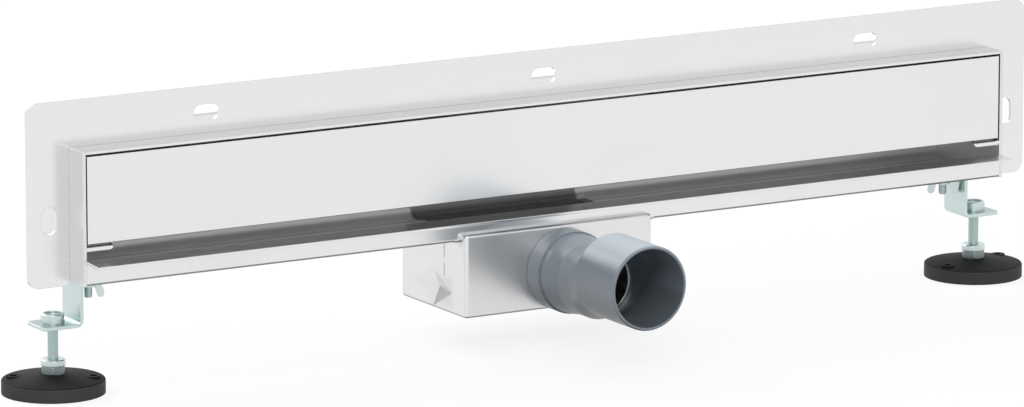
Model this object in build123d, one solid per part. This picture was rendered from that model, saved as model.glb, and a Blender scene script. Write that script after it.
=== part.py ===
from build123d import *
from math import cos, radians, sin
import os

# Linear shower drain for the foot of a wall, standing on two levelling legs.
# Millimetres. +X runs along the channel, +Y points into the wall and +Z is up.
# While modelling, Y = 0 is the line through both legs and Z = 0 is the floor they stand on.
# The finished pieces move along Y so that the origin is under the middle of the whole drain.

# Sheet metal of the channel, its flange, sump and cover
sheet = 1.5
end_sheet = 2.0
bend = 0.9
overrun = 2.0

# Channel
body_length = 625.0
body_depth = 71.9
body_height = 77.8
base_z = 67.6
leg_setback = 34.4
lip_reach = 13.5
lip_height = 14.6
lip_fall = 1.1
lip_bend = 0.4
cove = 7.0

# Wall flange and its fixing slots
flange_setback = 17.5
flange_side = 26.8
flange_top = 27.4
flange_drop = 2.2
flange_corner = 7.0
flange_inner_corner = 3.0
slot_length = 16.5
slot_width = 9.2
slot_pitch = 224.0
slot_count = 3
slot_rise = 12.0
side_slot_offset = 13.0
side_slot_rise = 36.7

# Cover panel, its brackets and pads
cover_gap = 1.2
cover_side_gap = 0.8
cover_depth = 10.0
cover_edge = 0.5
drain_slot = 9.6
rest_width = 17.5
rest_lip = 3.0
rest_corner = 2.2
rest_setback = 0.8
rest_upstand = 12.0
rest_clearance = 0.3
pad_height = 1.2
pad_inset = 1.5

# Sump box
sump_left = 66.2
sump_right = 61.2
sump_reach = 5.2
sump_bend = 0.9
hood_rise = 4.6
flare = 4.0
sump_back_inset = 0.8
sump_depth = 45.2
sump_seat = 4.0
opening_half = 57.5
opening_front_inset = 4.4
opening_back_inset = 2.0
dimple_length = 45.0
dimple_height = 23.6
dimple_depth = 4.6
dimple_tip = 0.6
dimple_rise = 12.6

# Outlet stub and eccentric adapter
outlet_rise = 23.1
stub_radius = 19.8
stub_wall = 1.5
stub_setback = 0.5
adapter_wall = 1.8
adapter_clearance = 0.2
adapter_gap = 0.3
collar_radius = 24.6
collar_length = 12.6
socket_radius = 23.5
socket_length = 5.6
taper_length = 12.0
neck_length = 14.0
offset_length = 12.0
spigot_radius = 25.0
spigot_length = 42.0
spigot_rise = 6.6
spigot_chamfer = 0.8
seal_start = 2.0
seal_length = 8.6
seal_clearance = 0.05

# Water trap inside the sump
trap_gasket = 0.5
trap_clearance = 0.5
basin_depth = 8.0
basin_wall = 2.0
dip_radius = 20.0
dip_wall = 1.8
dip_above_floor = 6.0
cup_radius = 28.0
cup_wall = 1.8
overflow_gap = 5.6
rib_thickness = 2.0
rib_count = 4
grip_width = 3.0
grip_height = 6.0

# Leg brackets
leg_overhang = 2.9
bracket_width = 22.5
bracket_sheet = 2.0
bracket_bend = 2.0
bracket_upper_bend = 4.5
bracket_corner = 2.5
bracket_plate_inset = 12.1
tab_z = 40.7
tab_reach = 11.2
upper_tab_length = 22.3

# Stud and wing nut
stud_inset = 23.0
stud_radius = 2.35
stud_length = 14.4
stud_hole_clearance = 0.4
thread_clearance = 0.1
stud_chamfer = 0.4
wing_hub_radius = 4.4
wing_hub_height = 6.0
wing_start = 2.3
wing_width = 4.4
wing_lean = 3.3
wing_thickness = 2.0
wing_seat = 1.0
wing_drop = 12.0
wing_corner = 2.0
wing_turn = -30.0

# Levelling bolt, its nuts and the foot
bolt_radius = 3.05
bolt_hole_clearance = 0.35
bolt_recess = 1.6
bolt_chamfer = 0.6
tab_nut_radius = 6.75
tab_nut_height = 5.8
tab_nut_rim = 1.7
foot_nut_width = 13.0
foot_nut_height = 5.0
collar_nut_radius = 7.15
collar_nut_height = 3.6
nut_chamfer = 0.6
foot_radius = 30.0
foot_height = 11.2
foot_edge_height = 8.2
foot_edge_round = 1.2
foot_socket_floor = 3.0
foot_seat_radius = 9.0
foot_hole_radius = 2.2
foot_hole_circle = 23.0
foot_boss_radius = 4.3
foot_boss_height = 1.6
foot_hole_angle_left = -30.0
foot_hole_angle_right = 15.0

# Places worked out from the sizes above
half_length = body_length / 2
front_y = -leg_setback
back_y = front_y + body_depth
body_top = base_z + body_height
floor_z = base_z + sheet
ledge_z = base_z + lip_height
lip_y = front_y - lip_reach
cover_bottom = ledge_z + drain_slot
cover_top = body_top - sheet - cover_gap
inner_half = half_length - end_sheet
cover_half = inner_half - cover_side_gap
shelf_z = cover_bottom - pad_height
flange_y = front_y + flange_setback
sump_front = front_y - sump_reach
sump_back = back_y - sump_back_inset
sump_bottom = base_z - sump_depth
sump_floor = sump_bottom + sheet
hood_top = base_z + hood_rise
opening_front = front_y + opening_front_inset
opening_back = sump_back - sheet - opening_back_inset
opening_mid_y = (opening_front + opening_back) / 2
outlet_z = sump_bottom + outlet_rise
adapter_bore = stub_radius + adapter_clearance
neck_radius = adapter_bore + adapter_wall
collar_end = adapter_gap + collar_length
socket_end = collar_end + socket_length
taper_end = socket_end + taper_length
neck_end = taper_end + neck_length
stub_end = neck_end - stub_setback
offset_end = neck_end + offset_length
spigot_end = offset_end + spigot_length
basin_under = base_z - basin_depth
cup_rim = basin_under - overflow_gap
leg_x = half_length + leg_overhang
plate_x = leg_x - bracket_plate_inset
stud_x = leg_x - stud_inset
upper_tab_under = base_z - bracket_sheet
bolt_top = tab_z + tab_nut_height - bolt_recess
origin_y = (sump_front - spigot_end + back_y) / 2


def block(x0, x1, y0, y1, z0, z1):
    """Box between two corners."""
    middle = Pos((x0 + x1) / 2, (y0 + y1) / 2, (z0 + z1) / 2)
    return middle * Box(x1 - x0, y1 - y0, z1 - z0)


def rod(radius, x, y, z0, z1):
    """Upright cylinder from z0 to z1."""
    return Pos(x, y, (z0 + z1) / 2) * Cylinder(radius, z1 - z0)


def run_out(radius, start, end, z):
    """Cylinder that points out of the sump's front wall, from start to end in front of it."""
    middle = Pos(0, sump_front - (start + end) / 2, z)
    return middle * Rot(90, 0, 0) * Cylinder(radius, end - start)


def sided(piece, side):
    """The right-hand piece, or its mirror image for the left."""
    return piece if side > 0 else mirror(piece, about=Plane.YZ)


def folded_section(points, radii, thickness):
    """Section of a folded sheet that lies on the right of its line, with one radius for each fold."""
    corners = [Vector(*point) for point in points]
    runs = [(end - start).normalized() for start, end in zip(corners, corners[1:])]
    rights = [Vector(run.Y, -run.X) for run in runs]
    before = [rights[0]] + rights
    after = rights + [rights[-1]]
    shifted = [
        corner + (one + two) * (thickness / (1 + one.dot(two)))
        for corner, one, two in zip(corners, before, after)
    ]
    shifted_radii = [
        radius + thickness if one.cross(two).Z > 0 else radius - thickness
        for radius, one, two in zip(radii, runs, runs[1:])
    ]
    line = FilletPolyline(*corners, radius=radii)
    other_line = FilletPolyline(*shifted, radius=shifted_radii)
    ends = [Line(corners[0], shifted[0]), Line(corners[-1], shifted[-1])]
    return make_face([*line.edges(), *other_line.edges(), *ends])


def channel_trough():
    """One folded sheet: top, back wall, floor, low front wall and the lip folded out from its top."""
    points = [
        (front_y, body_top),
        (back_y, body_top),
        (back_y, base_z),
        (front_y, base_z),
        (front_y, ledge_z - sheet),
        (lip_y, ledge_z - lip_fall - sheet),
    ]
    section = folded_section(points, [bend + sheet, cove + sheet, lip_bend + sheet, lip_bend], sheet)
    trough = extrude(Plane.YZ * section, inner_half, both=True)
    under = base_z - overrun
    return trough - block(-opening_half, opening_half, opening_front, opening_back, under, floor_z + overrun)


def end_plate():
    return block(inner_half, half_length, front_y, back_y, base_z, body_top)


def slot_cut(length, x, z, turn):
    """Slot through the flange, its length turned from level by the given angle."""
    slot = extrude(SlotOverall(length, slot_width), flange_side, both=True)
    return Pos(x, flange_y, z) * Rot(90, 0, 0) * Rot(0, 0, turn) * slot


def wall_flange():
    width = body_length + 2 * flange_side
    bottom = base_z - flange_drop
    height = body_top + flange_top - bottom
    plate = RectangleRounded(width, height, flange_corner)
    plate = Pos(0, flange_y + sheet, bottom + height / 2) * Rot(90, 0, 0) * extrude(plate, sheet)
    cut = block(-half_length, half_length, front_y, back_y, bottom - overrun, body_top)
    flange = plate - cut
    lower = flange.edges().filter_by(Axis.Y).group_by(Axis.Z)[0]
    inner = lower.sort_by(lambda edge: abs(edge.center().X))[:2]
    flange = fillet(inner, flange_inner_corner)
    for number in range(slot_count):
        x = (number - (slot_count - 1) / 2) * slot_pitch
        flange -= slot_cut(slot_length, x, body_top + slot_rise, 0)
    for side in (-1, 1):
        flange -= slot_cut(slot_length, side * (half_length + side_slot_offset), base_z + side_slot_rise, 90)
    return flange


def cover_panel():
    outer = block(-cover_half, cover_half, front_y, front_y + cover_depth, cover_bottom, cover_top)
    outer = fillet(outer.faces().sort_by(Axis.Y)[0].edges(), cover_edge)
    hollow = block(
        sheet - cover_half,
        cover_half - sheet,
        front_y + sheet,
        front_y + cover_depth + overrun,
        cover_bottom + sheet,
        cover_top - sheet,
    )
    return outer - hollow


def cover_rest():
    """Folded bracket: a short front lip, a shelf for the pad and an upstand behind the cover."""
    outer = bend + sheet
    lip_front = front_y + rest_setback
    stop_front = front_y + cover_depth + rest_clearance
    points = [
        (lip_front, shelf_z - rest_lip),
        (lip_front, shelf_z),
        (stop_front, shelf_z),
        (stop_front, shelf_z + rest_upstand),
    ]
    section = folded_section(points, [outer, bend], sheet)
    bracket = extrude(Plane.YZ * section, rest_width)
    inner_corner = bracket.edges().filter_by(Axis.Y).sort_by(Axis.Z)[:2].sort_by(Axis.X)[0]
    bracket = fillet(inner_corner, rest_corner)
    return Pos(inner_half - rest_width, 0, 0) * bracket


def cover_pad():
    outer_x = cover_half - pad_inset
    inner_x = inner_half - rest_width + pad_inset
    pad_front = front_y + rest_setback + bend + sheet
    pad_back = front_y + cover_depth + rest_clearance - bend
    return block(inner_x, outer_x, pad_front, pad_back, shelf_z, cover_bottom)


def dimple(face_x):
    """Diamond pyramid pressed inwards from a side wall, built on the right-hand wall."""
    y = (sump_front + sump_back) / 2
    z = sump_bottom + dimple_rise
    half_wide = dimple_length / 2
    half_high = dimple_height / 2
    corners = [(half_wide, 0), (0, half_high), (-half_wide, 0), (0, -half_high)]
    share = dimple_tip / dimple_height
    base = make_face(Polyline(*corners, close=True))
    tip = make_face(Polyline(*[(share * u, share * v) for u, v in corners], close=True))
    place = Plane(origin=(face_x, y, z), x_dir=(0, 1, 0), z_dir=(-1, 0, 0))
    return loft([place * base, place * Pos(0, 0, dimple_depth) * tip])


def sump_shell(inset, front_bend, edge_bend):
    """Outside of the sump, or its hollow when inset by the sheet, from its bottom to its hood."""
    shell = block(
        inset - sump_left,
        sump_right - inset,
        sump_front + inset,
        sump_back - inset,
        sump_bottom + inset,
        hood_top - inset,
    )
    shell = fillet(shell.edges().filter_by(Axis.Z), front_bend)
    levels = shell.faces().sort_by(Axis.Z)
    return fillet(levels[0].edges() + levels[-1].edges(), edge_bend)


def sump_box():
    """Folded box under the channel, with a low hood in front of the channel's front wall."""
    box = sump_shell(0, sump_bend + sheet, lip_bend + sheet)
    box -= block(-half_length, half_length, front_y, back_y, base_z, hood_top + overrun)
    cavity = sump_shell(sheet, sump_bend, lip_bend)
    cavity -= block(-half_length, half_length, front_y, back_y, base_z - sheet, hood_top)
    box -= cavity
    mouth_x = opening_half - sump_seat
    mouth_front = opening_front + sump_seat
    mouth_back = opening_back - sump_seat
    box -= block(-mouth_x, mouth_x, mouth_front, mouth_back, base_z - sheet - overrun, base_z + overrun)
    for side, wall in ((-1, sump_left), (1, sump_right)):
        box += sided(dimple(wall - sheet), side)
        box -= sided(dimple(wall), side)
        box += sided(corner_flare(wall), side)
    return box - run_out(stub_radius - stub_wall, -sheet - overrun, overrun, outlet_z)


def corner_flare(wall):
    """Small hollow-edged web between a side of the sump and the front edge of the channel's floor."""
    web = block(wall - sheet, wall + flare, front_y, front_y + sheet, base_z - flare, base_z)
    corner = Pos(wall + flare, front_y, base_z - flare)
    round_off = corner * Rot(90, 0, 0) * Cylinder(flare, 2 * (sheet + overrun))
    return web - round_off


def outlet_stub():
    tube = run_out(stub_radius, 0, stub_end, outlet_z)
    return tube - run_out(stub_radius - stub_wall, 0, stub_end, outlet_z)


def circle_ahead(radius, distance, z):
    """Circle that faces out of the sump's front wall, at a distance in front of it."""
    place = Plane(origin=(0, sump_front - distance, z), x_dir=(1, 0, 0), z_dir=(0, -1, 0))
    return place * Circle(radius)


def outlet_adapter():
    """Collar and socket on the stub's axis, then a neck that shifts up to the spigot's axis."""
    front_z = outlet_z + spigot_rise
    spigot_bore = spigot_radius - adapter_wall
    taper_start = circle_ahead(socket_radius, socket_end, outlet_z)
    taper_finish = circle_ahead(neck_radius, taper_end, outlet_z)
    offset_start = circle_ahead(neck_radius, neck_end, outlet_z)
    offset_finish = circle_ahead(spigot_radius, offset_end, front_z)
    bore_start = circle_ahead(adapter_bore, neck_end, outlet_z)
    bore_finish = circle_ahead(spigot_bore, offset_end, front_z)
    body = run_out(collar_radius, adapter_gap, collar_end, outlet_z)
    body += run_out(socket_radius, collar_end, socket_end, outlet_z)
    body += loft([taper_start, taper_finish])
    body += run_out(neck_radius, taper_end, neck_end, outlet_z)
    body += loft([offset_start, offset_finish])
    spigot = run_out(spigot_radius, offset_end, spigot_end, front_z)
    body += chamfer(spigot.faces().sort_by(Axis.Y)[0].edges(), spigot_chamfer)
    body -= run_out(adapter_bore, adapter_gap, neck_end, outlet_z)
    body -= run_out(collar_radius - adapter_wall, seal_start, seal_start + seal_length, outlet_z)
    body -= loft([bore_start, bore_finish])
    return body - run_out(spigot_bore, offset_end, spigot_end, front_z)


def adapter_seal():
    start = seal_start + seal_clearance
    end = seal_start + seal_length - seal_clearance
    ring = run_out(collar_radius - adapter_wall - seal_clearance, start, end, outlet_z)
    return ring - run_out(stub_radius + seal_clearance, start, end, outlet_z)


def trap_inlet():
    """Basin that hangs in the floor opening, with the dip tube, its ribs and a grip across."""
    rim_x = opening_half - trap_clearance
    rim_front = opening_front + trap_clearance
    rim_back = opening_back - trap_clearance
    basin_x = opening_half - sump_seat - trap_clearance
    basin_front = opening_front + sump_seat + trap_clearance
    basin_back = opening_back - sump_seat - trap_clearance
    inlet = block(-rim_x, rim_x, rim_front, rim_back, base_z + trap_gasket, floor_z)
    inlet += block(-basin_x, basin_x, basin_front, basin_back, basin_under, floor_z)
    inlet -= block(
        basin_wall - basin_x,
        basin_x - basin_wall,
        basin_front + basin_wall,
        basin_back - basin_wall,
        basin_under + basin_wall,
        floor_z,
    )
    dip_end = sump_floor + dip_above_floor
    for number in range(rib_count):
        reach = cup_radius + cup_wall
        rib = block(0, reach, -rib_thickness / 2, rib_thickness / 2, cup_rim, basin_under)
        inlet += Pos(0, opening_mid_y, 0) * Rot(0, 0, (number + 0.5) * 360 / rib_count) * rib
    inlet += rod(dip_radius, 0, opening_mid_y, dip_end, basin_under)
    inlet -= rod(dip_radius - dip_wall, 0, opening_mid_y, dip_end, basin_under + basin_wall)
    grip_top = basin_under + basin_wall
    grip_front = opening_mid_y - grip_width / 2
    grip_under = grip_top - grip_height
    grip = block(-dip_radius, dip_radius, grip_front, grip_front + grip_width, grip_under, grip_top)
    return inlet + (grip & rod(dip_radius - dip_wall / 2, 0, opening_mid_y, dip_end, grip_top))


def trap_cup():
    cup = rod(cup_radius, 0, opening_mid_y, sump_floor, cup_rim)
    return cup - rod(cup_radius - cup_wall, 0, opening_mid_y, sump_floor + cup_wall, cup_rim)


def trap_seal():
    outer_x = opening_half - trap_clearance
    outer_front = opening_front + trap_clearance
    outer_back = opening_back - trap_clearance
    top = base_z + trap_gasket
    ring = block(-outer_x, outer_x, outer_front, outer_back, base_z, top)
    inner_x = opening_half - sump_seat
    return ring - block(-inner_x, inner_x, opening_front + sump_seat, opening_back - sump_seat, base_z, top)


def leg_bracket():
    """Folded strip: a tab under the channel, an upright and a tab for the levelling bolt."""
    points = [
        (plate_x - upper_tab_length, base_z),
        (plate_x, base_z),
        (plate_x, tab_z),
        (leg_x + tab_reach, tab_z),
    ]
    section = folded_section(points, [bracket_upper_bend + bracket_sheet, bracket_bend], bracket_sheet)
    bracket = extrude(Plane.XZ * section, bracket_width / 2, both=True)
    corners = bracket.edges().filter_by(Axis.Z).filter_by(lambda edge: edge.length < bracket_width / 2)
    bracket = fillet(corners, bracket_corner)
    bracket -= rod(stud_radius + stud_hole_clearance, stud_x, 0, upper_tab_under - overrun, base_z)
    return bracket - rod(bolt_radius + bolt_hole_clearance, leg_x, 0, tab_z - bracket_sheet - overrun, tab_z)


def bracket_stud():
    stud = rod(stud_radius, stud_x, 0, base_z - stud_length, base_z)
    return chamfer(stud.faces().sort_by(Axis.Z)[0].edges(), stud_chamfer)


def wing_nut():
    """Hub with two flat wings that lean out and down, before it is put on its stud."""
    hub_end = upper_tab_under - wing_hub_height
    hub = rod(wing_hub_radius, 0, 0, hub_end, upper_tab_under)
    wing_top = upper_tab_under - wing_seat
    wing_end = upper_tab_under - wing_drop
    tip_x = wing_start + wing_lean
    wing_line = Polyline(
        (wing_start, wing_top),
        (wing_start + wing_width, wing_top),
        (tip_x + wing_width, wing_end),
        (tip_x, wing_end),
        close=True,
    )
    wing = make_face(wing_line)
    wing = fillet(wing.vertices().group_by(Axis.Y)[0], wing_corner)
    wing = extrude(Plane.XZ * wing, wing_thickness / 2, both=True)
    nut = hub + wing + mirror(wing, about=Plane.YZ)
    nut -= rod(stud_radius + thread_clearance, 0, 0, wing_end, upper_tab_under)
    return Rot(0, 0, wing_turn) * nut


def levelling_bolt():
    bolt = rod(bolt_radius, leg_x, 0, foot_socket_floor, bolt_top)
    ends = bolt.edges().filter_by(GeomType.CIRCLE)
    return chamfer(ends, bolt_chamfer)


def round_nut(radius, z, height):
    nut = rod(radius, leg_x, 0, z, z + height)
    nut = chamfer(nut.faces().sort_by(Axis.Z)[-1].edges(), nut_chamfer)
    return nut - rod(bolt_radius + thread_clearance, leg_x, 0, z, z + height)


def tab_nut():
    """Round nut on the bracket's tab, hollowed on top down to the bolt's end."""
    nut = round_nut(tab_nut_radius, tab_z, tab_nut_height)
    return nut - rod(tab_nut_radius - tab_nut_rim, leg_x, 0, bolt_top, tab_z + tab_nut_height)


def foot_nut():
    corner_radius = foot_nut_width / 2 / cos(radians(30))
    hexagon = extrude(RegularPolygon(corner_radius, 6), foot_nut_height)
    round_off = Pos(0, 0, foot_nut_height / 2) * Cylinder(corner_radius, foot_nut_height)
    round_off = chamfer(round_off.edges().filter_by(GeomType.CIRCLE), nut_chamfer)
    nut = Pos(leg_x, 0, foot_height) * (hexagon & round_off)
    return nut - rod(bolt_radius + thread_clearance, leg_x, 0, foot_height, foot_height + foot_nut_height)


def foot_pad(hole_angle):
    """Round foot with a seat for the nut, a socket for the bolt and two screw holes in raised bosses."""
    rim = foot_radius - foot_edge_round
    edge = foot_edge_height
    section_line = [
        Line((0, 0), (foot_radius, 0)),
        Line((foot_radius, 0), (foot_radius, edge - foot_edge_round)),
        RadiusArc((foot_radius, edge - foot_edge_round), (rim, edge), -foot_edge_round),
        Line((rim, edge), (foot_seat_radius, foot_height)),
        Line((foot_seat_radius, foot_height), (0, foot_height)),
        Line((0, foot_height), (0, 0)),
    ]
    pad = revolve(Plane.XZ * make_face(section_line), Axis.Z)
    pad -= rod(bolt_radius + thread_clearance, 0, 0, foot_socket_floor, foot_height)
    for turn in (0, 180):
        angle = radians(hole_angle + turn)
        x = foot_hole_circle * cos(angle)
        y = foot_hole_circle * sin(angle)
        boss_top = foot_edge_height + foot_boss_height
        pad += rod(foot_boss_radius, x, y, foot_edge_height / 2, boss_top)
        pad -= rod(foot_hole_radius, x, y, 0, boss_top)
    return pad


pieces = {
    "channel_trough": channel_trough(),
    "wall_flange": wall_flange(),
    "sump_box": sump_box(),
    "outlet_stub": outlet_stub(),
    "outlet_adapter": outlet_adapter(),
    "adapter_seal": adapter_seal(),
    "cover_panel": cover_panel(),
    "trap_inlet": trap_inlet(),
    "trap_cup": trap_cup(),
    "trap_seal": trap_seal(),
}
for name, side, hole_angle in (("left", -1, foot_hole_angle_left), ("right", 1, foot_hole_angle_right)):
    pieces["end_plate_" + name] = sided(end_plate(), side)
    pieces["cover_rest_" + name] = sided(cover_rest(), side)
    pieces["cover_pad_" + name] = sided(cover_pad(), side)
    pieces["leg_bracket_" + name] = sided(leg_bracket(), side)
    pieces["bracket_stud_" + name] = sided(bracket_stud(), side)
    pieces["wing_nut_" + name] = Pos(side * stud_x, 0, 0) * wing_nut()
    pieces["levelling_bolt_" + name] = sided(levelling_bolt(), side)
    pieces["tab_nut_" + name] = sided(tab_nut(), side)
    collar_nut_z = foot_height + foot_nut_height
    pieces["collar_nut_" + name] = sided(round_nut(collar_nut_radius, collar_nut_z, collar_nut_height), side)
    pieces["foot_nut_" + name] = sided(foot_nut(), side)
    pieces["foot_pad_" + name] = Pos(side * leg_x, 0, 0) * foot_pad(hole_angle)

os.makedirs("parts", exist_ok=True)
for name, piece in pieces.items():
    export_step(Pos(0, -origin_y, 0) * piece, "parts/" + name + ".step")
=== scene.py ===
import math

import bpy
import numpy as np
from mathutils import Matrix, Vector


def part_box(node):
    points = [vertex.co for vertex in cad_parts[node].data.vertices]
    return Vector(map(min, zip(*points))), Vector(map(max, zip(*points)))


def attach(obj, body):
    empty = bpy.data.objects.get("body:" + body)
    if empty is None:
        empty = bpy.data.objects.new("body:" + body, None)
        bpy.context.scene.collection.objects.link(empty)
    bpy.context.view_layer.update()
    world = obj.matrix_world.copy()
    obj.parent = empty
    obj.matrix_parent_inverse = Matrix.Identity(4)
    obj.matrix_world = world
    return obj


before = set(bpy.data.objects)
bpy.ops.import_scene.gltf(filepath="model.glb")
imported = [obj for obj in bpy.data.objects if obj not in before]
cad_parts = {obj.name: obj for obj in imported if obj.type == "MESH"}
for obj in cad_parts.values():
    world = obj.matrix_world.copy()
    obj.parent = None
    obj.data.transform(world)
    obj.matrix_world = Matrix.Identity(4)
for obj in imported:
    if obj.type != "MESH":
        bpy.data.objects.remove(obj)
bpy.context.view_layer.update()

SIDES = ("left", "right")
BODY = "root"

trough_low, trough_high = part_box("channel_trough")
plate_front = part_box("end_plate_right")[0].y
sump_low, sump_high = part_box("sump_box")
adapter_low, adapter_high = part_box("outlet_adapter")


# Camera

CAMERA_PLACE = (-2.23716, -3.77811, 0.99632)
CAMERA_TURN = -30.171
CAMERA_DIP = 11.707
CAMERA_LENS = 269.31
CAMERA_SENSOR = 36.0


def place_camera():
    """A long lens that looks down and to the right at the front of the drain."""
    data = bpy.data.cameras.new("studio_camera")
    data.lens = CAMERA_LENS
    data.sensor_width = CAMERA_SENSOR
    data.clip_start = 0.1
    data.clip_end = 60.0
    camera = bpy.data.objects.new("studio_camera", data)
    camera.location = CAMERA_PLACE
    camera.rotation_euler = (math.radians(90 - CAMERA_DIP), 0, math.radians(CAMERA_TURN))
    bpy.context.scene.collection.objects.link(camera)
    bpy.context.scene.camera = camera


# Node helpers

def add(tree, kind, place, **settings):
    """A node of that kind at that place of the tree, with its settings."""
    node = tree.nodes.new(kind)
    node.location = place
    for name, value in settings.items():
        setattr(node, name, value)
    return node


def join(tree, out_socket, in_socket):
    """A link from one socket to another."""
    tree.links.new(out_socket, in_socket)


def feed(tree, value, in_socket):
    """A link from the value, where it is a socket, or else the value itself on the input."""
    if isinstance(value, bpy.types.NodeSocket):
        join(tree, value, in_socket)
    else:
        in_socket.default_value = value


def maths(tree, place, operation, *values, clamp=False):
    """The result of one step of maths on sockets or numbers."""
    node = add(tree, "ShaderNodeMath", place, operation=operation, use_clamp=clamp)
    for value, socket in zip(values, node.inputs):
        feed(tree, value, socket)
    return node.outputs["Value"]


def vector_maths(tree, place, operation, first, second):
    """The node of one step of maths on two vector sockets."""
    node = add(tree, "ShaderNodeVectorMath", place, operation=operation)
    join(tree, first, node.inputs[0])
    join(tree, second, node.inputs[1])
    return node


def noise(tree, place, where, scale, detail, roughness=0.5):
    """The grey value of a noise at the place that the where socket gives."""
    node = add(tree, "ShaderNodeTexNoise", place)
    for label, value in (("Vector", where), ("Scale", scale), ("Detail", detail), ("Roughness", roughness)):
        feed(tree, value, node.inputs[label])
    return node.outputs["Fac"]


def smooth_rise(tree, place, value, start, end):
    """A mask that rises smoothly from 0 to 1 while the value goes from start to end."""
    node = add(tree, "ShaderNodeMapRange", place, interpolation_type="SMOOTHSTEP")
    for label, given in (("Value", value), ("From Min", start), ("From Max", end)):
        feed(tree, given, node.inputs[label])
    return node.outputs["Result"]


def spread(tree, place, value, low, high):
    """A number that goes from low to high as the value socket goes from 0 to 1."""
    node = add(tree, "ShaderNodeMapRange", place)
    for label, given in (("Value", value), ("To Min", low), ("To Max", high)):
        feed(tree, given, node.inputs[label])
    return node.outputs["Result"]


def between(tree, place, factor, low, high):
    """A colour that goes from low to high with the factor socket."""
    node = add(tree, "ShaderNodeMix", place, data_type="RGBA")
    join(tree, factor, node.inputs["Factor"])
    for label, value in (("A", low), ("B", high)):
        socket = next(s for s in node.inputs if s.name == label and s.type == "RGBA")
        feed(tree, (*value, 1.0) if isinstance(value, tuple) else value, socket)
    return next(s for s in node.outputs if s.type == "RGBA")


def object_place(tree):
    """The socket that gives the surface's place on the object."""
    return add(tree, "ShaderNodeTexCoord", (-900, -250)).outputs["Object"]


# Effects that several materials share

FLOAT = "NodeSocketFloat"
VECTOR = "NodeSocketVector"


def new_group(name, inputs, outputs):
    """An empty shader group with its input and output nodes. Inputs have a kind and a value."""
    tree = bpy.data.node_groups.new(name, "ShaderNodeTree")
    for label, kind, value in inputs:
        socket = tree.interface.new_socket(label, in_out="INPUT", socket_type=kind)
        socket.default_value = value
    for label, kind in outputs:
        tree.interface.new_socket(label, in_out="OUTPUT", socket_type=kind)
    given = add(tree, "NodeGroupInput", (-900, 0))
    made = add(tree, "NodeGroupOutput", (700, 0))
    return tree, given.outputs, made.inputs


def worn_edge_group():
    """A mask that is 1 where the surface turns at an edge, and the normal rounded there."""
    tree, given, made = new_group(
        "worn_edge",
        [("Width", FLOAT, 0.0006), ("Sharpness", FLOAT, 6.0)],
        [("Edge", FLOAT), ("Normal", VECTOR)],
    )
    rounded = add(tree, "ShaderNodeBevel", (-600, 0), samples=6)
    join(tree, given["Width"], rounded.inputs["Radius"])
    plain = add(tree, "ShaderNodeNewGeometry", (-600, -200))
    alike = vector_maths(tree, (-350, 0), "DOT_PRODUCT", rounded.outputs["Normal"], plain.outputs["Normal"])
    turned = maths(tree, (-150, 0), "SUBTRACT", 1.0, alike.outputs["Value"], clamp=True)
    raised = maths(tree, (100, 0), "MULTIPLY", turned, given["Sharpness"], clamp=True)
    join(tree, raised, made["Edge"])
    join(tree, rounded.outputs["Normal"], made["Normal"])
    return tree


def brushed_group():
    """Long fine scratches: noise stretched along the direction whose scale is the smallest."""
    tree, given, made = new_group(
        "brushed",
        [("Stretch", VECTOR, (6.0, 1500.0, 1500.0))],
        [("Height", FLOAT), ("Streaks", FLOAT)],
    )
    scaled = vector_maths(tree, (-650, 0), "MULTIPLY", object_place(tree), given["Stretch"])
    fine = noise(tree, (-400, 100), scaled.outputs["Vector"], 1.0, 3.0)
    wide = noise(tree, (-400, -150), scaled.outputs["Vector"], 0.17, 2.0)
    both_noises = maths(tree, (0, -100), "ADD", fine, wide)
    join(tree, fine, made["Height"])
    join(tree, maths(tree, (200, -100), "MULTIPLY", both_noises, 0.5), made["Streaks"])
    return tree


def handling_group():
    """Soft patches left by hands and cleaning: low noise, lifted to a mask from 0 to 1."""
    tree, given, made = new_group(
        "handling",
        [("Size", FLOAT, 12.0), ("Low", FLOAT, 0.4), ("High", FLOAT, 0.7)],
        [("Patches", FLOAT)],
    )
    cloud = noise(tree, (-500, 0), object_place(tree), given["Size"], 4.0, 0.6)
    join(tree, smooth_rise(tree, (-100, 0), cloud, given["Low"], given["High"]), made["Patches"])
    return tree


def moulded_group():
    """Pitted skin of moulded plastic or rubber: fine noise for height, coarser noise for shade."""
    tree, given, made = new_group(
        "moulded",
        [("Grain", FLOAT, 2500.0), ("Cloud", FLOAT, 60.0)],
        [("Height", FLOAT), ("Shade", FLOAT)],
    )
    where = object_place(tree)
    join(tree, noise(tree, (-400, 100), where, given["Grain"], 2.0), made["Height"])
    join(tree, noise(tree, (-400, -150), where, given["Cloud"], 3.0), made["Shade"])
    return tree


def inside_box_group():
    """A mask of the surface inside a box of the object's space, that fades in over a soft border."""
    tree, given, made = new_group(
        "inside_box",
        [("Low", VECTOR, (-1.0, -1.0, -1.0)), ("High", VECTOR, (1.0, 1.0, 1.0)), ("Soft", FLOAT, 0.0001)],
        [("Inside", FLOAT)],
    )
    where = object_place(tree)
    above = vector_maths(tree, (-650, 100), "SUBTRACT", where, given["Low"])
    below = vector_maths(tree, (-650, -100), "SUBTRACT", given["High"], where)
    nearest = vector_maths(tree, (-450, 0), "MINIMUM", above.outputs["Vector"], below.outputs["Vector"])
    parts = add(tree, "ShaderNodeSeparateXYZ", (-250, 0))
    join(tree, nearest.outputs["Vector"], parts.inputs["Vector"])
    level = maths(tree, (-50, 0), "MINIMUM", parts.outputs["X"], parts.outputs["Y"])
    least = maths(tree, (150, 0), "MINIMUM", level, parts.outputs["Z"])
    join(tree, smooth_rise(tree, (350, 0), least, 0.0, given["Soft"]), made["Inside"])
    return tree


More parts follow.
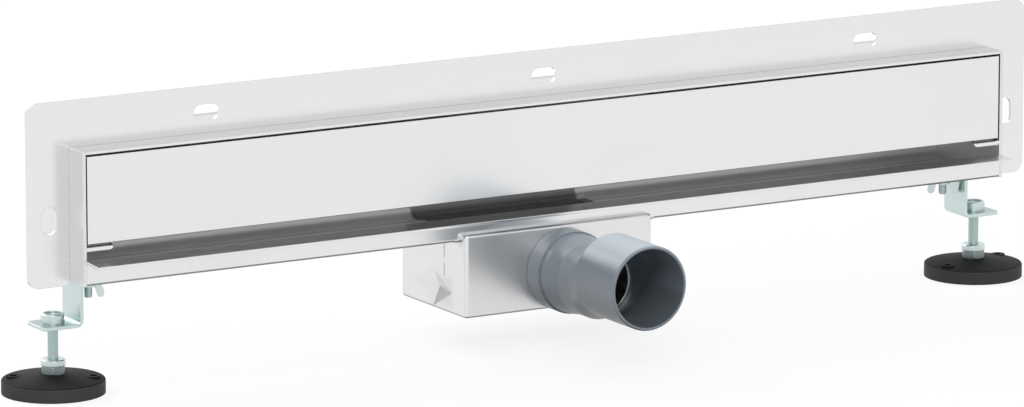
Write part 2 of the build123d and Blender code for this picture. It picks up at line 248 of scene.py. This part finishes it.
def facing_group():
    """A mask that rises from 0 to 1 where the surface turns from upright to facing up, or down."""
    tree, given, made = new_group(
        "facing",
        [("Way", FLOAT, 1.0), ("Start", FLOAT, 0.12), ("End", FLOAT, 0.6)],
        [("Faces", FLOAT)],
    )
    surface = add(tree, "ShaderNodeNewGeometry", (-900, -250))
    parts = add(tree, "ShaderNodeSeparateXYZ", (-650, 0))
    join(tree, surface.outputs["Normal"], parts.inputs["Vector"])
    turned = maths(tree, (-450, 0), "MULTIPLY", parts.outputs["Z"], given["Way"])
    join(tree, smooth_rise(tree, (-200, 0), turned, given["Start"], given["End"]), made["Faces"])
    return tree


worn_edge = worn_edge_group()
brushed = brushed_group()
handling = handling_group()
moulded = moulded_group()
inside_box = inside_box_group()
facing = facing_group()


def use(tree, group, place, **values):
    """The outputs of the group as one node of a material, with this material's own values."""
    node = add(tree, "ShaderNodeGroup", place, node_tree=group)
    for label, value in values.items():
        node.inputs[label].default_value = value
    return node.outputs


# Surfaces

EDGE_WIDTH = 0.0005
SCRATCH_HEIGHT = 0.000004
PIT_HEIGHT = 0.00005
STREAK_GLOSS = 0.02


def new_material(name):
    """A material with its Principled shader."""
    made = bpy.data.materials.new(name)
    made.use_nodes = True
    tree = made.node_tree
    return made, tree, tree.nodes["Principled BSDF"]


def tone(tree, shader, factor, tones, edge_mask):
    """Base colour from the dark to the light tone with the factor, and the edge tone on the edges."""
    dark, light, edge = tones
    colour = between(tree, (-600, 300), factor, dark, light)
    join(tree, between(tree, (-350, 300), edge_mask, colour, edge), shader.inputs["Base Color"])


def emboss(tree, shader, height, normal, depth, distance):
    """A bump of that height, laid over the rounded normal."""
    bump = add(tree, "ShaderNodeBump", (-350, -300))
    bump.inputs["Strength"].default_value = depth
    bump.inputs["Distance"].default_value = distance
    join(tree, height, bump.inputs["Height"])
    join(tree, normal, bump.inputs["Normal"])
    join(tree, bump.outputs["Normal"], shader.inputs["Normal"])


def metal(name, tones, gloss, stretch, depth):
    """Sheet or turned metal: streaked colour, uneven gloss, fine scratches and its own tone along the
    edges.
    """
    made, tree, shader = new_material(name)
    scratches = use(tree, brushed, (-900, 200), Stretch=stretch)
    hands = use(tree, handling, (-900, -100))
    edges = use(tree, worn_edge, (-900, -350), Width=EDGE_WIDTH)
    tone(tree, shader, scratches["Streaks"], tones, edges["Edge"])
    handled = spread(tree, (-600, 0), hands["Patches"], *gloss)
    streaked = maths(tree, (-350, 0), "MULTIPLY_ADD", scratches["Streaks"], STREAK_GLOSS, handled)
    join(tree, streaked, shader.inputs["Roughness"])
    emboss(tree, shader, scratches["Height"], edges["Normal"], depth, SCRATCH_HEIGHT)
    shader.inputs["Metallic"].default_value = 1.0
    return made


def moulding(name, tones, gloss, depth, grain):
    """Moulded plastic or rubber: clouded colour, pitted skin and its own tone along the edges."""
    made, tree, shader = new_material(name)
    skin = use(tree, moulded, (-900, 200), Grain=grain)
    hands = use(tree, handling, (-900, -100), Size=18.0)
    edges = use(tree, worn_edge, (-900, -350), Width=EDGE_WIDTH)
    tone(tree, shader, skin["Shade"], tones, edges["Edge"])
    join(tree, spread(tree, (-600, 0), hands["Patches"], *gloss), shader.inputs["Roughness"])
    emboss(tree, shader, skin["Height"], edges["Normal"], depth, PIT_HEIGHT)
    return made


# Tints by place and by the way that the surface faces

UP = 1.0
DOWN = -1.0
FAR = 1.0
SHARP = 0.0001


def region(x=(-FAR, FAR), y=(-FAR, FAR), z=(-FAR, FAR)):
    """Lowest and highest corner of a box that is wide open along the directions not given."""
    return tuple(zip(x, y, z))


def tint_where(material, mask, colour):
    """The material's base colour, turned to another colour where the mask is 1."""
    tree = material.node_tree
    base = tree.nodes["Principled BSDF"].inputs["Base Color"]
    join(tree, between(tree, (-100, 450), mask, base.links[0].from_socket, colour), base)


def tint_inside(material, colour, box, soft=SHARP):
    """The material in another colour inside a box, with a border that fades over the soft width."""
    low, high = box
    inside = use(material.node_tree, inside_box, (-500, 600), Low=low, High=high, Soft=soft)["Inside"]
    tint_where(material, inside, colour)


def tint_facing(material, way, colour, box=region(), start=0.12, end=0.6):
    """The material in another colour inside a box, only where it faces that way. Returns the mask."""
    tree = material.node_tree
    low, high = box
    inside = use(tree, inside_box, (-700, 600), Low=low, High=high, Soft=SHARP)["Inside"]
    faces = use(tree, facing, (-700, 750), Way=way, Start=start, End=end)["Faces"]
    mask = maths(tree, (-400, 650), "MULTIPLY", inside, faces)
    tint_where(material, mask, colour)
    return mask


# Stainless steel

ALONG = (6.0, 1500.0, 1500.0)
UPRIGHT = (1500.0, 1500.0, 6.0)
STEEL_TONES = ((0.795, 0.80, 0.805), (0.81, 0.815, 0.82), (0.76, 0.76, 0.765))
# Painted shade: the colour of steel faces that look down
STEEL_UNDER = (0.22, 0.22, 0.225)
STEEL_GLOSS = (0.20, 0.27)
STEEL_SCRATCHES = 0.03
PICKLED_GLOSS = 0.55
SHEET = 0.0015
SKIN = 0.001
FLOOR_Z = trough_low[2] + SHEET
BACK_Y = trough_high[1]
BACK_FACE = BACK_Y - 0.0002


def stainless(name, stretch, shade=1.0, gloss=STEEL_GLOSS):
    """The drain's stainless sheet, brushed the way that the stretch gives, and darker by the shade."""
    tones = [tuple(part * shade for part in shown) for shown in STEEL_TONES]
    return metal(name, tones, gloss, stretch, STEEL_SCRATCHES)


def pickle_hollow(steel):
    """The steel left matt inside the channel, as it is after its acid bath."""
    tree = steel.node_tree
    low, high = region(
        (trough_low[0] - SKIN, trough_high[0] + SKIN),
        (plate_front + SKIN, BACK_Y - SKIN),
        (trough_low[2] + SKIN, trough_high[2] - SKIN),
    )
    rough = tree.nodes["Principled BSDF"].inputs["Roughness"]
    matt = add(tree, "ShaderNodeMix", (-150, -100), data_type="FLOAT")
    join(tree, use(tree, inside_box, (-600, -600), Low=low, High=high)["Inside"], matt.inputs["Factor"])
    join(tree, rough.links[0].from_socket, matt.inputs["A"])
    matt.inputs["B"].default_value = PICKLED_GLOSS
    join(tree, matt.outputs["Result"], rough)


def flat_steel():
    """Sheet of the flange and the cover, with painted shade on the faces that look down."""
    steel = stainless("steel_brushed_along", ALONG)
    tint_facing(steel, DOWN, STEEL_UNDER)
    return steel


def plate_steel():
    """Sheet of the end plates, matt on the sides that close the channel, and darker than the other steel as
    painted shade.
    """
    steel = stainless("steel_end_plate", UPRIGHT, shade=0.94)
    pickle_hollow(steel)
    return steel


EDGE_SHADE = 0.0014
TOP_SHADE = (0.70, 0.70, 0.705)
TOP_DEPTH = 0.003
COVE_DULL = (0.43, 0.43, 0.435)
COVE_DEPTH = 0.0095
COVE_TOP = 0.150
COVE_FADE = 0.006
STAIN = (0.24, 0.24, 0.245)
STAIN_HALF = 0.0575
STAIN_SHIFT = 0.004
STAIN_DEPTH = 0.012
STAIN_TOP = 0.130
STAIN_UNDER = 0.002
STAIN_FADE = 0.002
DIRT = (0.52, 0.52, 0.525)
DIRT_BEFORE_BACK = 0.0127
DIRT_WIDTH = 0.0028
DIRT_FADE = 0.0008


def channel_steel():
    """Sheet of the channel: matt inside, with painted shade under its folds, on its bottom edge, on its top
    strip, in the foot of the back wall, over the opening to the sump and in a line along the floor.
    """
    steel = stainless("steel_channel", ALONG)
    pickle_hollow(steel)
    # Painted shade on faces that look down beside the sump and along the bottom edge
    for beside_sump in ((-FAR, sump_low[0]), (sump_high[0], FAR)):
        tint_facing(steel, DOWN, STEEL_UNDER, region(x=beside_sump))
        tint_inside(steel, STEEL_UNDER, region(x=beside_sump, z=(-FAR, trough_low[2] + EDGE_SHADE)))
    # Painted shade on the top strip, which faces up
    tint_facing(steel, UP, TOP_SHADE, region(z=(trough_high[2] - TOP_DEPTH, FAR)))

    # Painted shade in the rounded foot of the back wall
    cove = region(y=(BACK_Y - COVE_DEPTH, BACK_FACE), z=(FLOOR_Z, COVE_TOP))
    tint_inside(steel, COVE_DULL, cove, COVE_FADE)

    # Painted shade on the back wall over the dark opening to the sump
    stain = region(
        (-STAIN_HALF - STAIN_SHIFT, STAIN_HALF - STAIN_SHIFT),
        (BACK_Y - STAIN_DEPTH, BACK_FACE),
        (FLOOR_Z - STAIN_UNDER, STAIN_TOP),
    )
    tint_inside(steel, STAIN, stain, STAIN_FADE)

    # Painted shade in a line along the floor before the back wall
    dirt_y = BACK_Y - DIRT_BEFORE_BACK
    dirt = region(y=(dirt_y - DIRT_WIDTH / 2, dirt_y + DIRT_WIDTH / 2), z=(FLOOR_Z - SKIN, FLOOR_Z + SHEET))
    tint_inside(steel, DIRT, dirt, DIRT_FADE)
    return steel


SUMP_LEFT_WALL = -0.0662
SUMP_GLOSS = (0.28, 0.34)
SUMP_UNDER = 0.004
HOLLOW_SHADE = (0.67, 0.67, 0.675)
HOLLOW_RISE = 0.0245
HOLLOW_SPREAD = 0.004
HOLLOW_INSET = 0.002
HOLLOW_DEPTH = 0.006
HOLLOW_FADE = 0.008
FACET_SHADE = (0.42, 0.42, 0.425)
FACET_RISE = 0.0125
DIMPLE_HALF = 0.0225


def sump_steel():
    """Sheet of the sump, a little darker than the other steel, with painted shade below it and in the
    diamonds pressed in its sides.
    """
    steel = stainless("steel_sump", UPRIGHT, shade=0.965, gloss=SUMP_GLOSS)
    tint_facing(steel, DOWN, STEEL_UNDER, region(z=(-FAR, sump_low[2] + SUMP_UNDER)))

    # Soft shade on the front half of the left diamond
    dimple_y = (sump_low[1] + sump_high[1]) / 2
    dimple_front = dimple_y - DIMPLE_HALF
    dimple_foot = sump_low[2] + SKIN
    hollow = region(
        (-FAR, SUMP_LEFT_WALL + HOLLOW_DEPTH),
        (dimple_front - HOLLOW_SPREAD, dimple_y - HOLLOW_INSET),
        (dimple_foot, sump_low[2] + HOLLOW_RISE),
    )
    tint_inside(steel, HOLLOW_SHADE, hollow, HOLLOW_FADE)

    # Painted shade on the lower front facet of each diamond, which leans up
    facet = region(y=(dimple_front, dimple_y), z=(dimple_foot, sump_low[2] + FACET_RISE))
    tint_facing(steel, UP, FACET_SHADE, facet, start=0.02, end=0.08)
    return steel


# Zinc plating

ZINC_TONES = ((0.56, 0.66, 0.655), (0.63, 0.73, 0.72), (0.82, 0.89, 0.88))
ZINC_GLOSS = (0.26, 0.36)
ROLLED_TONES = ((0.33, 0.42, 0.405), (0.45, 0.56, 0.54), (0.66, 0.76, 0.74))
DULL_ZINC_TONES = ((0.27, 0.32, 0.32), (0.36, 0.41, 0.41), (0.66, 0.72, 0.72))
BRACKET_SHADE = (0.41, 0.49, 0.485)


def plated(name):
    """Bright zinc with a faint blue-green cast and scratches in no one direction."""
    return metal(name, ZINC_TONES, ZINC_GLOSS, stretch=(120.0, 120.0, 120.0), depth=0.3)


def bracket_zinc():
    """Zinc of the leg brackets, shaded on the faces that look up."""
    zinc = plated("zinc_bracket")
    tint_facing(zinc, UP, BRACKET_SHADE, start=0.7, end=0.95)
    return zinc


def thread_zinc():
    """Darker zinc of the bolts and studs, streaked along their length."""
    return metal("zinc_rolled_thread", ROLLED_TONES, (0.30, 0.42), stretch=(500.0, 500.0, 20.0), depth=0.5)


def foot_nut_zinc():
    """Dull zinc of the six-sided nuts on the feet."""
    return metal("zinc_dull", DULL_ZINC_TONES, (0.34, 0.46), stretch=(200.0, 200.0, 200.0), depth=0.5)


# Plastic, rubber and foam

OUTLET_TONES = ((0.195, 0.232, 0.27), (0.21, 0.247, 0.288), (0.39, 0.44, 0.50))
SPIGOT_RADIUS = 0.025
SPIGOT_REACH = 0.045
SPIGOT_DUST_ABOVE = 0.004
PLASTIC_DUST = (0.66, 0.75, 0.82)
SOCKET_DUST = (0.34, 0.40, 0.45)
PLASTIC_INSIDE = (0.14, 0.165, 0.185)
PLASTIC_UNDER = (0.085, 0.10, 0.12)
OUTLET_COAT = 0.5
OUTLET_COAT_GLOSS = 0.28


def outlet_plastic():
    """Blue-grey plastic of the outlet: a painted highlight on top, painted shade in the pipe, and dull with
    painted shade below.
    """
    plastic = moulding("grey_plastic", OUTLET_TONES, (0.34, 0.40), depth=0.04, grain=2500.0)
    middle = adapter_high[2] - SPIGOT_RADIUS
    back = adapter_low[1] + SPIGOT_REACH
    # Painted highlight on the tops of the spigot and the socket
    spigot_top = region(y=(-FAR, back), z=(middle + SPIGOT_DUST_ABOVE, FAR))
    tint_facing(plastic, UP, PLASTIC_DUST, spigot_top, start=0.45, end=1.0)
    socket_top = region(y=(back, FAR), z=(middle, FAR))
    tint_facing(plastic, UP, SOCKET_DUST, socket_top, start=0.45, end=1.0)
    # Painted shade on the floor inside the pipe and on the faces that look down
    pipe_floor = region(y=(-FAR, back), z=(-FAR, middle))
    tint_facing(plastic, UP, PLASTIC_INSIDE, pipe_floor, start=0.05, end=0.4)
    below = tint_facing(plastic, DOWN, PLASTIC_UNDER, region(z=(-FAR, middle)), start=0.0, end=0.75)

    # A gloss coat, gone where the plastic faces down
    tree = plastic.node_tree
    shader = tree.nodes["Principled BSDF"]
    join(tree, spread(tree, (-100, -600), below, OUTLET_COAT, 0.0), shader.inputs["Coat Weight"])
    shader.inputs["Coat Roughness"].default_value = OUTLET_COAT_GLOSS
    return plastic


def trap_plastic():
    """Dark plastic of the water trap."""
    tones = ((0.10, 0.105, 0.11), (0.13, 0.135, 0.14), (0.18, 0.18, 0.19))
    return moulding("dark_plastic", tones, (0.35, 0.5), depth=0.3, grain=2000.0)


def grey(*values):
    """Grey tones with these values."""
    return tuple((value, value, value) for value in values)


def seal_rubber():
    """Black rubber of the seals."""
    return moulding("black_rubber", grey(0.012, 0.02, 0.04), (0.55, 0.7), depth=0.5, grain=1800.0)


def pad_foam():
    """Grey of the pads put in the gap under the cover, standing in for that gap's shade."""
    return moulding("grey_gap_shade", grey(0.50, 0.60, 0.62), (0.7, 0.85), depth=0.4, grain=1600.0)


FOOT_SIDE_TOP = 0.0078
FOOT_DUST = (0.064, 0.064, 0.064)


def foot_rubber():
    """Dull black rubber of the feet, with painted light on their sides, which come out paler than the tops.
    """
    rubber = moulding("foot_rubber", grey(0.006, 0.010, 0.03), (0.6, 0.75), depth=0.5, grain=1500.0)
    # Painted light: the sides paler than the tops
    tint_inside(rubber, FOOT_DUST, region(z=(-FAR, FOOT_SIDE_TOP)))
    rubber.node_tree.nodes["Principled BSDF"].inputs["Specular IOR Level"].default_value = 0.12
    return rubber


# Which piece is made of what

def dress(material, *names):
    """The material on these nodes of the frame."""
    for name in names:
        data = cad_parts[name].data
        data.materials.clear()
        data.materials.append(material)


def both(*names):
    """Each name with its left and right endings."""
    return [name + "_" + side for name in names for side in SIDES]


dress(flat_steel(), "wall_flange", "cover_panel")
dress(channel_steel(), "channel_trough")
dress(plate_steel(), *both("end_plate"))
dress(sump_steel(), "sump_box")
dress(stainless("steel_brushed_upright", UPRIGHT), "outlet_stub", *both("cover_rest"))
dress(bracket_zinc(), *both("leg_bracket"))
dress(plated("zinc_plating"), *both("wing_nut", "tab_nut", "collar_nut"))
dress(thread_zinc(), *both("bracket_stud", "levelling_bolt"))
dress(foot_nut_zinc(), *both("foot_nut"))
dress(outlet_plastic(), "outlet_adapter")
dress(trap_plastic(), "trap_inlet", "trap_cup")
dress(seal_rubber(), "trap_seal", "adapter_seal")
dress(pad_foam(), *both("cover_pad"))
dress(foot_rubber(), *both("foot_pad"))


# Weld beads on the left wall of the sump

BEAD_RINGS = 60
BEAD_SIDES = 12
BEAD_WIDTH = 0.0009
BEAD_HEIGHT = 0.00015
RIPPLES = 14
RIPPLE_DEPTH = 0.12
WELD_TONES = ((0.30, 0.30, 0.31), (0.42, 0.42, 0.43), (0.6, 0.6, 0.6))
SEAM_BEHIND_FRONT = 0.0247
SEAM_HEIGHTS = ((0.0669, 0.0541), (0.0518, 0.0436))

weld = metal("weld_bead", WELD_TONES, (0.35, 0.5), stretch=(300.0, 300.0, 300.0), depth=0.6)


def bead_faces():
    """Quads between each ring and the next, all round, and a flat cap on both ends."""
    ring, side = np.meshgrid(np.arange(BEAD_RINGS - 1), np.arange(BEAD_SIDES), indexing="ij")
    near = ring * BEAD_SIDES
    far = near + BEAD_SIDES
    beside = (side + 1) % BEAD_SIDES
    quads = np.stack([near + side, far + side, far + beside, near + beside], axis=-1)
    last = (BEAD_RINGS - 1) * BEAD_SIDES
    caps = [list(range(BEAD_SIDES)), list(range(last, last + BEAD_SIDES))[::-1]]
    return quads.reshape(-1, 4).tolist() + caps


def weld_bead(name, start, end, out):
    """A closed bead from start to end, an ellipse in section, half sunk in the wall that out points from.

    Its rings are start + t (end - start) + s(t) (width / 2 cos u across + height sin u out), with t from
    0 to 1 and u round the ellipse. The swell s is the square root of 1 - (2 t - 1) to the 8th power, at
    least 0.1, times 1 - depth cos(2 pi n t), for the n ripples of a weld laid by hand.
    """
    start, end, out = (np.array(v, float) for v in (start, end, out))
    across = np.cross(end - start, out)
    across /= np.linalg.norm(across)
    t = np.linspace(0, 1, BEAD_RINGS)[:, None, None]
    u = np.linspace(0, 2 * math.pi, BEAD_SIDES, endpoint=False)[None, :, None]
    ripple = 1 - RIPPLE_DEPTH * np.cos(2 * math.pi * RIPPLES * t)
    swell = np.sqrt(np.maximum(1 - np.abs(2 * t - 1) ** 8, 0.01)) * ripple
    section = BEAD_WIDTH / 2 * np.cos(u) * across + BEAD_HEIGHT * np.sin(u) * out
    rings = start + t * (end - start) + swell * section
    mesh = bpy.data.meshes.new(name)
    mesh.from_pydata(rings.reshape(-1, 3).tolist(), [], bead_faces())
    mesh.polygons.foreach_set("use_smooth", [True] * (len(mesh.polygons) - 2) + [False, False])
    mesh.materials.append(weld)
    piece = bpy.data.objects.new(name, mesh)
    bpy.context.scene.collection.objects.link(piece)
    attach(piece, BODY)


seam_y = sump_low[1] + SEAM_BEHIND_FRONT
for number, (seam_top, seam_end) in enumerate(SEAM_HEIGHTS, start=1):
    bead_start = (SUMP_LEFT_WALL, seam_y, seam_top)
    bead_end = (SUMP_LEFT_WALL, seam_y, seam_end)
    weld_bead("sump_seam_%d" % number, bead_start, bead_end, (-1, 0, 0))


# Studio

WHITE = (1.0, 1.0, 1.0, 1.0)
FLOOR_SIZE = 12.0
FLOOR_TONE = (0.55, 0.55, 0.55, 1.0)
FLOOR_GLOW = 1.34
FLOOR_GLOW_SHARE = 0.62
ROOM_LIGHT = 0.62
ROOM_SEEN = 1.0


def seen_directly(tree):
    """A mask that is 1 for rays from the camera, or by way of gloss or of something clear."""
    path = add(tree, "ShaderNodeLightPath", (-900, 400)).outputs
    seen = maths(tree, (-650, 400), "ADD", path["Is Camera Ray"], path["Is Glossy Ray"], clamp=True)
    return maths(tree, (-450, 400), "ADD", seen, path["Is Transmission Ray"], clamp=True)


def mixed_shader(tree, factor, first, second, out):
    """The first shader where the factor is 0 and the second where it is 1, on the output node."""
    mixed = add(tree, "ShaderNodeMixShader", (300, 300))
    join(tree, factor, mixed.inputs["Fac"])
    join(tree, first, mixed.inputs[1])
    join(tree, second, mixed.inputs[2])
    join(tree, mixed.outputs["Shader"], out.inputs["Surface"])


def white_floor():
    """A wide level sheet that reads as white to the camera and still takes a soft shadow."""
    grid = np.array([[-1, -1], [1, -1], [1, 1], [-1, 1]], float) * FLOOR_SIZE
    corners = np.column_stack([grid, np.zeros(4)])
    mesh = bpy.data.meshes.new("studio_floor")
    mesh.from_pydata(corners.tolist(), [], [(0, 1, 2, 3)])
    floor = bpy.data.objects.new("studio_floor", mesh)
    bpy.context.scene.collection.objects.link(floor)
    made, tree, shader = new_material("studio_floor")
    shader.inputs["Base Color"].default_value = FLOOR_TONE
    shader.inputs["Roughness"].default_value = 1.0
    shader.inputs["Specular IOR Level"].default_value = 0.0
    glow = add(tree, "ShaderNodeEmission", (-250, 200))
    glow.inputs["Color"].default_value = WHITE
    glow.inputs["Strength"].default_value = FLOOR_GLOW
    share = maths(tree, (-250, 400), "MULTIPLY", seen_directly(tree), FLOOR_GLOW_SHARE)
    out = tree.nodes["Material Output"]
    mixed_shader(tree, share, shader.outputs["BSDF"], glow.outputs["Emission"], out)
    mesh.materials.append(made)


def white_room():
    """A white surround for the camera, gloss and glass, and a softer one for the light it gives."""
    world = bpy.data.worlds.new("studio_room")
    bpy.context.scene.world = world
    world.use_nodes = True
    world.cycles.sampling_method = "NONE"
    tree = world.node_tree
    lit = tree.nodes["Background"]
    seen = add(tree, "ShaderNodeBackground", (0, -200))
    for surround, strength in ((lit, ROOM_LIGHT), (seen, ROOM_SEEN)):
        surround.inputs["Color"].default_value = WHITE
        surround.inputs["Strength"].default_value = strength
    out = tree.nodes["World Output"]
    mixed_shader(tree, seen_directly(tree), lit.outputs["Background"], seen.outputs["Background"], out)


def softbox(name, place, aim, width, height, power):
    """A rectangular lamp that faces the point it is aimed at."""
    data = bpy.data.lights.new(name, "AREA")
    data.shape = "RECTANGLE"
    data.size = width
    data.size_y = height
    data.energy = power
    lamp = bpy.data.objects.new(name, data)
    lamp.location = place
    lamp.rotation_mode = "QUATERNION"
    lamp.rotation_quaternion = (Vector(aim) - Vector(place)).to_track_quat("-Z", "Y")
    bpy.context.scene.collection.objects.link(lamp)


LAMP_AIM = (0, 0, 0.08)
CHANNEL_LAMP_INSET = 0.014
CHANNEL_LAMP_PLACE = (0, plate_front + CHANNEL_LAMP_INSET, 0.110)
CHANNEL_LAMP_AIM = (0, BACK_Y, 0.070)

bpy.context.scene.view_settings.view_transform = "Standard"
place_camera()
white_floor()
white_room()
softbox("lamp_front", (-1.2, -2.2, 1.8), LAMP_AIM, width=1.2, height=1.0, power=22)
softbox("lamp_back", (-0.6, 2.2, 1.6), LAMP_AIM, width=1.6, height=0.7, power=26)
softbox("lamp_in_channel", CHANNEL_LAMP_PLACE, CHANNEL_LAMP_AIM, width=0.60, height=0.02, power=0.04)
